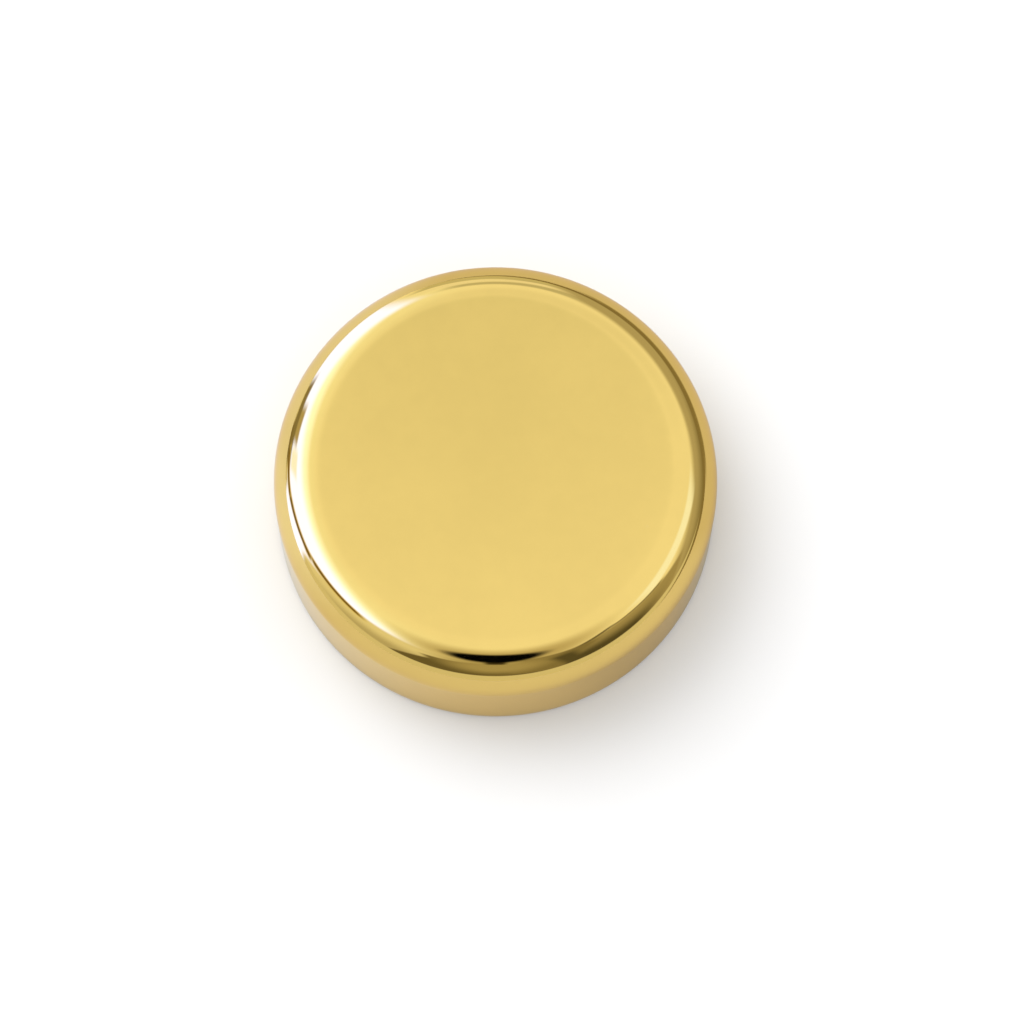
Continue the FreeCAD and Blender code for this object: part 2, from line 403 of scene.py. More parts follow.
def build_rim_wear(graph: Graph, given: dict[str, Socket]) -> dict[str, Socket]:
    """Where a round edge about Z is rubbed: near the circle of a radius and a height, broken by noise.

    Args:
        graph: the group's graph.
        given: its inputs by name.

    Returns:
        Its outputs by name.
    """
    height = graph.add("SeparateXYZ", {0: given["Position"]}).outputs[2]
    out = graph.math("SUBTRACT", graph.from_axis(given["Position"]), given["Radius"])
    up = graph.math("SUBTRACT", height, given["Height"])
    section = graph.add("CombineXYZ", {0: out, 1: up}).outputs[0]
    away = graph.vector("LENGTH", section).outputs["Value"]
    near = graph.remap(away, 0.0, given["Width"], 1.0, 0.0)
    broken = graph.noise(given["Position"], 900.0, 4.0, 0.6)
    return {"Mask": graph.math("MULTIPLY", near, graph.remap(broken, 0.38, 0.66))}


def build_rings(graph: Graph, given: dict[str, Socket]) -> dict[str, Socket]:
    """Turning marks: ridges at equal steps of radius and height, with an uneven depth.

    Args:
        graph: the group's graph.
        given: its inputs by name.

    Returns:
        Its outputs by name.
    """
    height = graph.add("SeparateXYZ", {0: given["Position"]}).outputs[2]
    along = graph.math("ADD", graph.from_axis(given["Position"]), height)
    phase = graph.math("DIVIDE", along, given["Pitch"])
    ridge = graph.math("SINE", graph.math("MULTIPLY", phase, FULL_TURN))
    return {"Height": graph.math("MULTIPLY", ridge, graph.noise(given["Position"], 400.0))}


def build_dust(graph: Graph, given: dict[str, Socket]) -> dict[str, Socket]:
    """Sparse specks: the middles of a few cells of a Voronoi pattern.

    Args:
        graph: the group's graph.
        given: its inputs by name.

    Returns:
        Its outputs by name.
    """
    cells = graph.add("TexVoronoi", {"Vector": given["Position"], "Scale": given["Scale"]}, feature="F1")
    chosen = graph.add("SeparateColor", {0: cells.outputs["Color"]}).outputs[0]
    speck = graph.remap(cells.outputs["Distance"], 0.03, 0.1, 1.0, 0.0)
    return {"Mask": graph.math("MULTIPLY", speck, graph.math("LESS_THAN", chosen, given["Share"]))}


def fade_at_one(graph: Graph, reach: Socket, soft: Socket) -> Socket:
    """1 for a reach below 1 and 0 above it, with an edge that is soft on either side."""
    return graph.remap(reach, graph.math("SUBTRACT", 1.0, soft), graph.math("ADD", 1.0, soft), 1.0, 0.0)


def build_soft_card(graph: Graph, given: dict[str, Socket]) -> dict[str, Socket]:
    """The inside of a soft-edged panel and of a soft-edged disc on the plane of directions.

    The place is first moved, turned and scaled so that the panel reaches from -1 to 1 both ways.

    Args:
        graph: the group's graph.
        given: its inputs by name.

    Returns:
        Its outputs by name.
    """
    inputs = {key: given[key] for key in ("Vector", "Location", "Rotation", "Scale")}
    local = graph.add("Mapping", inputs, vector_type="TEXTURE").outputs[0]
    parts = graph.add("SeparateXYZ", {0: graph.vector("ABSOLUTE", local).outputs[0]}).outputs
    across = fade_at_one(graph, parts[0], given["Soft Across"])
    along = fade_at_one(graph, parts[1], given["Soft Along"])
    disc = fade_at_one(graph, graph.vector("LENGTH", local).outputs["Value"], given["Soft Across"])
    return {"Panel": graph.math("MULTIPLY", across, along), "Disc": disc}


class SharedEffects:
    """The node groups that more than one finish or light uses, each built once."""

    def __init__(self) -> None:
        """Builds every group."""
        self.mottle = build_group("mottle", ["Scale"], ["Value"], build_mottle)
        self.hairlines = build_group("hairlines", ["Scale"], ["Mask"], build_hairlines)
        self.rim_wear = build_group("rim_wear", ["Radius", "Height", "Width"], ["Mask"], build_rim_wear)
        self.rings = build_group("turning_rings", ["Pitch"], ["Height"], build_rings)
        self.dust = build_group("dust", ["Scale", "Share"], ["Mask"], build_dust)
        values, vectors = ["Soft Across", "Soft Along"], ["Vector", "Location", "Rotation", "Scale"]
        self.soft_card = build_group("soft_card", values, ["Panel", "Disc"], build_soft_card, vectors)


# ---------------------------------------------------------------- finishes


@dataclass(frozen=True)
class Finish:
    """A material: a Principled surface whose patterns a subclass draws."""

    name: str
    colour: Colour
    metallic: float = 0.0
    roughness: float = 0.5
    edge_tint: Colour = (1.0, 1.0, 1.0)

    def material(self, effects: SharedEffects) -> bpy.types.Material:
        """Makes the material.

        Args:
            effects: the shared node groups.

        Returns:
            The new material.
        """
        inputs = {
            "Base Color": (*self.colour, 1.0),
            "Metallic": self.metallic,
            "Roughness": self.roughness,
            "Specular Tint": (*self.edge_tint, 1.0),
        }
        made, graph, shader = new_surface(self.name, inputs)
        self.draw(graph, shader, effects)
        return made

    def draw(self, graph: Graph, shader: bpy.types.Node, effects: SharedEffects) -> None:
        """Adds the finish's patterns to its Principled shader.

        Args:
            graph: the material's graph.
            shader: its Principled shader.
            effects: the shared node groups.
        """
        raise NotImplementedError

    def bump(self, graph: Graph, shader: bpy.types.Node, height: Socket, depth: float) -> None:
        """Feeds the shader's normal from a height of 0 to 1 that stands for depth metres."""
        inputs = {"Height": height, "Distance": depth, "Strength": 1.0}
        graph.feed(shader.inputs["Normal"], graph.add("Bump", inputs).outputs[0])


@dataclass(frozen=True)
class PolishedGold(Finish):
    """Gold plate, buffed to a mirror: slight haze, hairlines where it's handled, and a rubbed lower rim."""

    rim_radius: float = 0.0254
    rim_height: float = 0.0004
    rim_width: float = 0.5 * MM
    worn_colour: Colour = (0.70, 0.47, 0.20)
    dust_colour: Colour = (0.80, 0.77, 0.70)

    def draw(self, graph: Graph, shader: bpy.types.Node, effects: SharedEffects) -> None:
        """Adds haze and hairlines to the roughness, wear to the colour and a very slight waviness.

        Args:
            graph: the material's graph.
            shader: its Principled shader.
            effects: the shared node groups.
        """
        place = graph.place()
        haze = graph.effect(effects.mottle, place, scale=95.0)
        hairs = graph.effect(effects.hairlines, place, scale=1500.0)
        rim = {"radius": self.rim_radius, "height": self.rim_height, "width": self.rim_width}
        wear = graph.effect(effects.rim_wear, place, **rim)
        dust = graph.effect(effects.dust, place, scale=700.0, share=0.012)
        tint = tuple(0.965 * part for part in self.colour)
        clean = graph.mix(haze, tint, self.colour)
        worn = graph.mix(graph.math("MULTIPLY", wear, 0.55), clean, self.worn_colour)
        dusty = graph.mix(graph.math("MULTIPLY", dust, 0.1), worn, self.dust_colour)
        graph.feed(shader.inputs["Base Color"], dusty)
        rough = graph.math("MULTIPLY_ADD", haze, 0.025, self.roughness)
        rough = graph.math("MULTIPLY_ADD", hairs, 0.05, rough)
        rough = graph.math("MULTIPLY_ADD", wear, 0.2, rough)
        graph.feed(shader.inputs["Roughness"], graph.math("MULTIPLY_ADD", dust, 0.1, rough))
        waves = graph.noise(place, 210.0, 1.0)
        self.bump(graph, shader, waves, 0.0015 * MM)


@dataclass(frozen=True)
class TurnedMetal(Finish):
    """Bare turned metal with tool marks round its axis and a thin uneven film of oil."""

    pitch: float = 0.22 * MM
    depth: float = 0.004 * MM

    def draw(self, graph: Graph, shader: bpy.types.Node, effects: SharedEffects) -> None:
        """Adds turning rings, oily patches and stains.

        Args:
            graph: the material's graph.
            shader: its Principled shader.
            effects: the shared node groups.
        """
        place = graph.place()
        rings = graph.effect(effects.rings, place, pitch=self.pitch)
        film = graph.effect(effects.mottle, place, scale=120.0)
        dark = tuple(0.72 * part for part in self.colour)
        graph.feed(shader.inputs["Base Color"], graph.mix(film, dark, self.colour))
        rough = graph.math("MULTIPLY_ADD", film, -0.12, self.roughness)
        graph.feed(shader.inputs["Roughness"], rough)
        self.bump(graph, shader, rings, self.depth)


@dataclass(frozen=True)
class PressedBrass(Finish):
    """Satin brass sheet as it leaves the press: fine grain along the rolling, scuffs and a dull tarnish."""

    def draw(self, graph: Graph, shader: bpy.types.Node, effects: SharedEffects) -> None:
        """Adds rolling grain, tarnish and scuffs.

        Args:
            graph: the material's graph.
            shader: its Principled shader.
            effects: the shared node groups.
        """
        place = graph.place()
        rolled = graph.add("Mapping", {"Vector": place, "Scale": (0.03, 1.0, 1.0)}).outputs[0]
        grain = graph.noise(rolled, 9000.0, 3.0, 0.7)
        tarnish = graph.effect(effects.mottle, place, scale=140.0)
        scuffs = graph.effect(effects.hairlines, place, scale=700.0)
        dull = tuple(part * share for part, share in zip(self.colour, (0.78, 0.72, 0.6)))
        graph.feed(shader.inputs["Base Color"], graph.mix(tarnish, dull, self.colour))
        rough = graph.math("MULTIPLY_ADD", grain, 0.18, self.roughness - 0.09)
        graph.feed(shader.inputs["Roughness"], graph.math("MULTIPLY_ADD", scuffs, 0.12, rough))
        self.bump(graph, shader, grain, 0.002 * MM)


@dataclass(frozen=True)
class ZincPlate(Finish):
    """Bright zinc on a steel fastener: a crystalline bloom and a faint blue-grey to straw shift."""

    straw: Colour = (0.66, 0.63, 0.52)

    def draw(self, graph: Graph, shader: bpy.types.Node, effects: SharedEffects) -> None:
        """Adds the bloom and its colour shift.

        Args:
            graph: the material's graph.
            shader: its Principled shader.
            effects: the shared node groups.
        """
        place = graph.place()
        cells = graph.add("TexVoronoi", {"Vector": place, "Scale": 2600.0}, feature="F1").outputs["Distance"]
        shift = graph.effect(effects.mottle, place, scale=420.0)
        graph.feed(shader.inputs["Base Color"], graph.mix(shift, self.colour, self.straw))
        graph.feed(shader.inputs["Roughness"], graph.math("MULTIPLY_ADD", cells, 0.2, self.roughness))
        self.bump(graph, shader, cells, 0.0015 * MM)


@dataclass(frozen=True)
class WoolFelt(Finish):
    """Pressed wool felt: tangled fibres of uneven shade, with a soft sheen and a little lint."""

    pale: Colour = (0.12, 0.12, 0.125)
    lint: Colour = (0.35, 0.34, 0.33)
    stretch: float = 4.5

    def draw(self, graph: Graph, shader: bpy.types.Node, effects: SharedEffects) -> None:
        """Adds the tangle of fibres, its shade and its lint.

        Args:
            graph: the material's graph.
            shader: its Principled shader.
            effects: the shared node groups.
        """
        place = graph.place()
        tangle: Optional[Socket] = None
        for turn, tilt in ((0.2, 0.3), (0.95, -0.2), (1.6, 0.15), (2.35, -0.25), (2.9, 0.2)):
            inputs = {"Vector": place, "Rotation": (tilt, 0.0, turn), "Scale": (self.stretch, 1.0, 1.0)}
            laid = graph.add("Mapping", inputs, vector_type="TEXTURE").outputs[0]
            strand = graph.noise(laid, 5200.0, 2.0, 0.55)
            tangle = strand if tangle is None else graph.math("MAXIMUM", tangle, strand)
        clumps = graph.effect(effects.mottle, place, scale=480.0)
        lint = graph.effect(effects.dust, place, scale=800.0, share=0.03)
        fibre = graph.remap(tangle, 0.55, 0.78)
        shade = graph.math("MULTIPLY_ADD", clumps, 0.35, graph.math("MULTIPLY", fibre, 0.65))
        wool = graph.mix(shade, self.colour, self.pale)
        graph.feed(shader.inputs["Base Color"], graph.mix(graph.math("MULTIPLY", lint, 0.6), wool, self.lint))
        graph.feed(shader.inputs["Roughness"], graph.math("MULTIPLY_ADD", fibre, -0.08, self.roughness))
        shader.inputs["Sheen Weight"].default_value = 0.35
        shader.inputs["Sheen Roughness"].default_value = 0.5
        self.bump(graph, shader, tangle, 0.09 * MM)


@dataclass(frozen=True)
class FibreCard(Finish):
    """Grey-brown fibre card: speckled pulp with a matt, slightly furry face."""

    fleck: Colour = (0.12, 0.08, 0.05)

    def draw(self, graph: Graph, shader: bpy.types.Node, effects: SharedEffects) -> None:
        """Adds pulp, flecks and the pressed surface.

        Args:
            graph: the material's graph.
            shader: its Principled shader.
            effects: the shared node groups.
        """
        place = graph.place()
        pulp = graph.effect(effects.mottle, place, scale=700.0)
        flecks = graph.effect(effects.dust, place, scale=1500.0, share=0.12)
        light = tuple(min(1.0, 1.35 * part) for part in self.colour)
        board = graph.mix(pulp, self.colour, light)
        graph.feed(shader.inputs["Base Color"], graph.mix(flecks, board, self.fleck))
        graph.feed(shader.inputs["Roughness"], graph.math("MULTIPLY_ADD", pulp, 0.1, self.roughness))
        self.bump(graph, shader, pulp, 0.03 * MM)


@dataclass(frozen=True)
class AdhesiveFilm(Finish):
    """Milky double-sided film: a glassy face with trapped air and faint ripples."""

    air: Colour = (0.95, 0.94, 0.90)

    def draw(self, graph: Graph, shader: bpy.types.Node, effects: SharedEffects) -> None:
        """Adds ripples and air marks.

        Args:
            graph: the material's graph.
            shader: its Principled shader.
            effects: the shared node groups.
        """
        place = graph.place()
        ripples = graph.effect(effects.mottle, place, scale=260.0)
        bubbles = graph.effect(effects.dust, place, scale=600.0, share=0.2)
        dim = tuple(0.86 * part for part in self.colour)
        tone = graph.mix(ripples, dim, self.colour)
        milky = graph.mix(graph.math("MULTIPLY", bubbles, 0.5), tone, self.air)
        graph.feed(shader.inputs["Base Color"], milky)
        graph.feed(shader.inputs["Roughness"], graph.math("MULTIPLY_ADD", ripples, 0.15, self.roughness))
        self.bump(graph, shader, ripples, 0.01 * MM)


# ---------------------------------------------------------------- pieces


@dataclass
class Span:
    """A node's outside radius and its lowest and highest points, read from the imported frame."""

    radius: float
    low: float
    high: float

    @classmethod
    def of(cls, node: str) -> "Span":
        """Reads the box of a round CAD node."""
        low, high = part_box(node)
        return cls(radius=(high[0] - low[0]) / 2, low=low[2], high=high[2])


def fit_piece(piece: Piece, material: bpy.types.Material, node: str) -> Piece:
    """Gives a new piece its finish and lets it stand for a CAD node.

    Args:
        piece: the new piece, at the origin.
        material: its finish.
        node: the CAD node that it hides.

    Returns:
        The piece.
    """
    piece.data.materials.append(material)
    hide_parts(node)
    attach(piece, ROOT)
    return piece


@dataclass
class PolishedCap:
    """The drawn and plated cap: flat top, rounded edge and straight wall, polished all over."""

    span: Span
    edge: float = 5.0 * MM
    wall: float = 1.0 * MM
    rim_break: float = 0.2 * MM
    buffed: float = 0.4 * MM
    columns: int = 256

    def top_points(self) -> np.ndarray:
        """Points of the outside from the middle of the top to the top of the straight wall.

        The edge is a quarter circle on the distance past the flat. Buffing has softened the line where it
        starts, so that distance is buffed * log(1 + exp((r - flat) / buffed)) in place of r - flat.

        Returns:
            One row of radius and height per point.
        """
        flat = self.span.radius - self.edge
        turned = flat + self.edge * np.sin(np.radians(np.linspace(0, 90, 65)))
        soft = np.linspace(flat - 6 * self.buffed, flat + 2 * self.buffed, 25)
        middle = np.linspace(0, flat - 7 * self.buffed, 20)
        radius = np.unique(np.concatenate([middle, soft, turned]).round(8))
        past = self.buffed * np.logaddexp(0, (radius - flat) / self.buffed)
        rise = np.sqrt(np.maximum(self.edge**2 - past**2, 0))
        return np.stack([radius, self.span.high - self.edge + rise], -1)

    def outline(self) -> np.ndarray:
        """The cap's profile up the inside from the axis, round the rim and over the outside to the axis.

        Returns:
            One row of radius and height per point.
        """
        outside, top, low = self.span.radius, self.span.high, self.span.low
        inside, ceiling = outside - self.wall, top - self.wall
        flat = outside - self.edge
        break_centre = (outside - self.rim_break, low + self.rim_break)
        inner_centre = (inside + self.rim_break, low + self.rim_break)
        return profile(
            self.top_points(),
            line((outside, top - self.edge), (outside, low + self.rim_break), 12),
            arc(break_centre, self.rim_break, 0, -90, 6),
            arc(inner_centre, self.rim_break, -90, -180, 6),
            line((inside, low + self.rim_break), (inside, top - self.edge), 8),
            arc((flat, top - self.edge), self.edge - self.wall, 0, 90, 32),
            line((flat, ceiling), (0, ceiling), 8),
        )[::-1]

    def build(self, effects: SharedEffects) -> Piece:
        """Makes the cap in its gold and hides the CAD shell that it stands for.

        Args:
            effects: the shared node groups.

        Returns:
            The new piece.
        """
        piece = turned_surface("polished_cap", *around(self.outline(), self.columns))
        gold = PolishedGold(
            name="polished_gold",
            colour=(0.86, 0.635, 0.19),
            metallic=1.0,
            roughness=0.03,
            edge_tint=(1.0, 0.91, 0.80),
            rim_radius=self.span.radius,
            rim_height=self.span.low,
        )
        return fit_piece(piece, gold.material(effects), "top_shell")


@dataclass(frozen=True)
class MetricThread:
    """A right-hand thread about Z, cut into a plain radius between two heights."""

    radius: float = 2.0 * MM
    pitch: float = 0.7 * MM
    depth: float = 0.4 * MM
    low: float = 0.0
    high: float = 0.0
    run_out: float = 0.7 * MM
    crest: float = 0.12
    flank: float = 0.7
    clearance: float = 0.01 * MM

    def surface(self, angle: np.ndarray, height: np.ndarray, side: ThreadSide) -> np.ndarray:
        """The radius of the thread's surface.

        The groove is a triangle wave of height / pitch - angle / (2 pi), flattened at crest and root, and it
        fades out over the run-out at its upper end.

        Args:
            angle: the grid of angles about Z.
            height: the grid of heights.
            side: whether the thread is on a stud or in a nut.

        Returns:
            The grid of radii.
        """
        turn = height / self.pitch - angle / FULL_TURN
        wave = np.abs(2 * (turn - np.floor(turn)) - 1)
        groove = np.clip((wave - self.crest) / self.flank, 0, 1)
        fade = np.clip((self.high - height) / self.run_out, 0, 1) * (height >= self.low)
        if side is ThreadSide.EXTERNAL:
            return self.radius - self.depth * groove * fade
        return self.radius - self.depth * groove + self.clearance


@dataclass
class ThreadedStud:
    """The stud soldered under the cap: a flat foot, a shank and a rolled thread with a chamfered end."""

    span: Span
    foot_thick: float = 1.0 * MM
    shank: float = 2.0 * MM
    chamfer: float = 0.4 * MM
    thread_length: float = 6.5 * MM
    edge_break: float = 0.15 * MM
    root: float = 0.3 * MM
    rows_per_turn: int = 14
    columns: int = 96

    def thread(self) -> MetricThread:
        """The stud's thread, which the nut shares."""
        low = self.span.low
        return MetricThread(radius=self.shank, low=low, high=low + self.thread_length)

    def build(self, effects: SharedEffects) -> Piece:
        """Makes the stud and hides the plain CAD one.

        Args:
            effects: the shared node groups.

        Returns:
            The new piece.
        """
        low, high, foot = self.span.low, self.span.high, self.span.radius
        under = high - self.foot_thick
        shank, edge, root = self.shank, self.edge_break, self.root
        thread = self.thread()
        steps = round(self.thread_length / thread.pitch * self.rows_per_turn)
        points = profile(
            line((0, low), (shank - self.chamfer, low), 2),
            line((shank - self.chamfer, low), (shank, low + self.chamfer), 3),
            line((shank, low + self.chamfer), (shank, thread.high), steps),
            line((shank, thread.high), (shank, under - root), 8),
            arc((shank + root, under - root), root, 180, 90, 5),
            line((foot - edge, under), (foot, under + edge)),
            line((foot, high - edge), (foot - edge, high)),
            line((foot - edge, high), (0, high), 3),
        )
        radius, height = around(points, self.columns)
        angle = np.arange(self.columns) * FULL_TURN / self.columns
        cut = np.minimum(radius, thread.surface(angle, height, ThreadSide.EXTERNAL))
        piece = turned_surface("threaded_stud", np.where(height < under, cut, radius), height)
        brass = TurnedMetal("turned_brass", (0.78, 0.58, 0.27), 1.0, 0.28, pitch=0.15 * MM)
        return fit_piece(piece, brass.material(effects), "mounting_stud")


@dataclass
class HexNut:
    """The nut on the stud: six flats, coned faces at both ends and the stud's own thread inside."""

    span: Span
    across_flats: float
    thread: MetricThread
    washer_face: float = 0.95
    cone_angle: float = math.radians(30)
    countersink: float = 0.15 * MM
    thread_end: float = 0.25 * MM
    columns: int = 144

    def build(self, effects: SharedEffects) -> Piece:
        """Makes the nut and hides the CAD one.

        The outside radius at an angle is half the width across flats over the cosine of the angle to the
        nearest flat's middle. Each end's cone rises from the edge of its washer face.

        Args:
            effects: the shared node groups.

        Returns:
            The new piece.
        """
        low, high = self.span.low, self.span.high
        angle = np.arange(self.columns) * FULL_TURN / self.columns
        half = self.across_flats / 2
        hexagon = half / np.cos(angle % math.radians(60) - math.radians(30))
        face = self.washer_face * half
        cone = (hexagon - face) * math.tan(self.cone_angle)
        mouth = self.thread.radius + self.countersink
        rows = []
        for z in np.linspace(high - self.thread_end, low + self.thread_end, 44):
            heights = np.full(self.columns, z)
            rows.append((self.thread.surface(angle, heights, ThreadSide.INTERNAL), heights))
        flat = np.ones(self.columns)
        rows += [(mouth * flat, low * flat), (face * flat, low * flat)]
        rows += [(hexagon, low + cone), (hexagon, high - cone)]
        rows += [(face * flat, high * flat), (mouth * flat, high * flat)]
        radius, height = (np.stack([row[i] for row in rows]) for i in range(2))
        piece = turned_surface("hex_nut", radius, height, closed=True)
        zinc = ZincPlate("zinc_nut", (0.58, 0.60, 0.62), 1.0, 0.22)
        return fit_piece(piece, zinc.material(effects), "clamp_nut")


@dataclass
class SplitWasher:
    """The spring washer under the nut: a rounded rectangular wire bent round, with a slanted cut."""

    span: Span
    bore: float = 2.1 * MM
    gap: float = math.radians(9.0)
    slant: float = math.radians(10.0)
    edge: float = 0.12 * MM
    columns: int = 120

    def build(self, effects: SharedEffects) -> Piece:
        """Makes the washer and hides the CAD one.

        Each point of the wire's section lies at an angle that runs from one end of the cut to the other, and
        that also shifts with its height, so that the cut slants.

        Args:
            effects: the shared node groups.

        Returns:
            The new piece.
        """
        low, high, outer, e = self.span.low, self.span.high, self.span.radius, self.edge
        section = profile(
            arc((outer - e, low + e), e, -90, 0, 3),
            arc((outer - e, high - e), e, 0, 90, 3),
            arc((self.bore + e, high - e), e, 90, 180, 3),
            arc((self.bore + e, low + e), e, 180, 270, 3),
        )
        along = np.linspace(self.gap / 2, FULL_TURN - self.gap / 2, self.columns)[None, :]
        lean = self.slant * (section[:, 1:] - low) / (high - low)
        angle = along + lean
        points = np.stack([section[:, :1] * np.cos(angle), section[:, :1] * np.sin(angle)], -1)
        heights = np.broadcast_to(section[:, 1:], angle.shape)[..., None]
        points = np.concatenate([points, heights], -1)
        count = len(section)
        start = np.arange(count)[None, :] * self.columns
        faces = [quads(count, self.columns, wrap_rows=True, wrap_columns=False)[:, ::-1]]
        faces += [start, (start + self.columns - 1)[:, ::-1]]
        piece = add_mesh("split_washer", points.reshape(-1, 3), faces)
        zinc = ZincPlate("zinc_washer", (0.55, 0.57, 0.60), 1.0, 0.26)
        return fit_piece(piece, zinc.material(effects), "spring_washer")


@dataclass
class FeltFoot:
    """The felt disc: slightly uneven faces and a cut edge that has relaxed."""

    span: Span
    columns: int = 180
    round_edge: float = 0.22 * MM
    unevenness: float = 0.02 * MM

    def build(self, effects: SharedEffects) -> Piece:
        """Makes the felt and hides the CAD disc that it stands for.

        Args:
            effects: the shared node groups.

        Returns:
            The new piece.
        """
        r, low, high = self.span.radius, self.span.low, self.span.high
        e = self.round_edge
        points = profile(
            line((0, low), (r - e, low), 30),
            arc((r - e, low + e), e, -90, 0, 5),
            line((r, low + e), (r, high - e), 4),
            arc((r - e, high - e), e, 0, 90, 5),
            line((r - e, high), (0, high), 30),
        )
        radius, height = around(points, self.columns)
        angle = np.arange(self.columns) * FULL_TURN / self.columns
        wave = sum(np.sin(k * angle + phase) for k, phase in ((7, 0.4), (19, 2.0), (43, 4.1))) / 3
        ripple = sum(np.sin(k * angle + j * radius / MM) for k, j in ((5, 1.7), (11, -2.3), (23, 3.1))) / 3
        inward = self.unevenness * (1 + wave) * (radius / r) ** 8
        face = self.unevenness * (1 + ripple) / 2
        middle = (low + high) / 2
        height = height + np.where(height < middle, face, -face)
        piece = turned_surface("felt_foot", radius - inward, height)
        felt = WoolFelt("wool_felt", (0.022, 0.022, 0.024), 0.0, 0.92)
        fit_piece(piece, felt.material(effects), "felt_pad")
        return piece


# ---------------------------------------------------------------- studio


# Painted light and shade of the table as polished metal shows it: light on the left and under the key, shade
# to the front, the right and the far right corner, and by side round the foot.
TABLE_LEFT_PAINTED_LIGHT = (0.65, 0.66, 0.80)
TABLE_FRONT_PAINTED_SHADE = (0.59, 0.57, 0.585)
TABLE_RIGHT_PAINTED_SHADE = (0.54, 0.505, 0.48)
TABLE_UNDER_KEY_PAINTED_LIGHT = (0.70, 0.725, 0.92)
TABLE_CORNER_PAINTED_SHADE = (0.22, 0.19, 0.12)
FOOT_LEFT_PAINTED_LIGHT = (0.66, 0.69, 0.71)
FOOT_FRONT_PAINTED_SHADE = (0.70, 0.69, 0.64)
FOOT_RIGHT_PAINTED_SHADE = (0.58, 0.56, 0.48)
KEY_LIGHT = (1.3, 1.65, 5.3)
WALL_SHADE = (0.52, 0.49, 0.44)
STAND_RIM = (0.80, 0.72, 0.42)
STAND_SHADE = (0.22, 0.15, 0.05)
BACKDROP = (0.93, 0.93, 0.92)


@dataclass(frozen=True)
class Card:
    """A soft-edged patch of light or shade far from the button, placed by direction.

    place is how far the direction to its middle leans from straight up, in degrees to the right and to the
    back. half holds half its width and half its height in degrees, turn tilts it, and soft is the share of
    each half that its edge takes up on either side.
    """

    name: str
    place: tuple[float, float]
    half: tuple[float, float]
    turn: float
    soft: tuple[float, float]
    light: Colour
    shape: CardShape = CardShape.PANEL

    def over(self, graph: Graph, effects: SharedEffects, plane: Socket, behind: Socket) -> Socket:
        """Lays this card over the light behind it.

        Args:
            graph: the world's graph.
            effects: the shared node groups.
            plane: the direction as a place on the plane of leans, in degrees.
            behind: the light so far.

        Returns:
            The light with the card in it.
        """
        inputs = {
            "Vector": plane,
            "Location": (*self.place, 0.0),
            "Rotation": (0.0, 0.0, math.radians(self.turn)),
            "Scale": (*self.half, 1.0),
            "Soft Across": self.soft[0],
            "Soft Along": self.soft[1],
        }
        masks = graph.add("Group", inputs, node_tree=effects.soft_card).outputs
        if self.shape is CardShape.PANEL:
            return graph.mix(masks["Panel"], behind, self.light)
        if self.shape is CardShape.DISC:
            return graph.mix(masks["Disc"], behind, self.light)
        return graph.mix(masks["Disc"], self.light, behind)


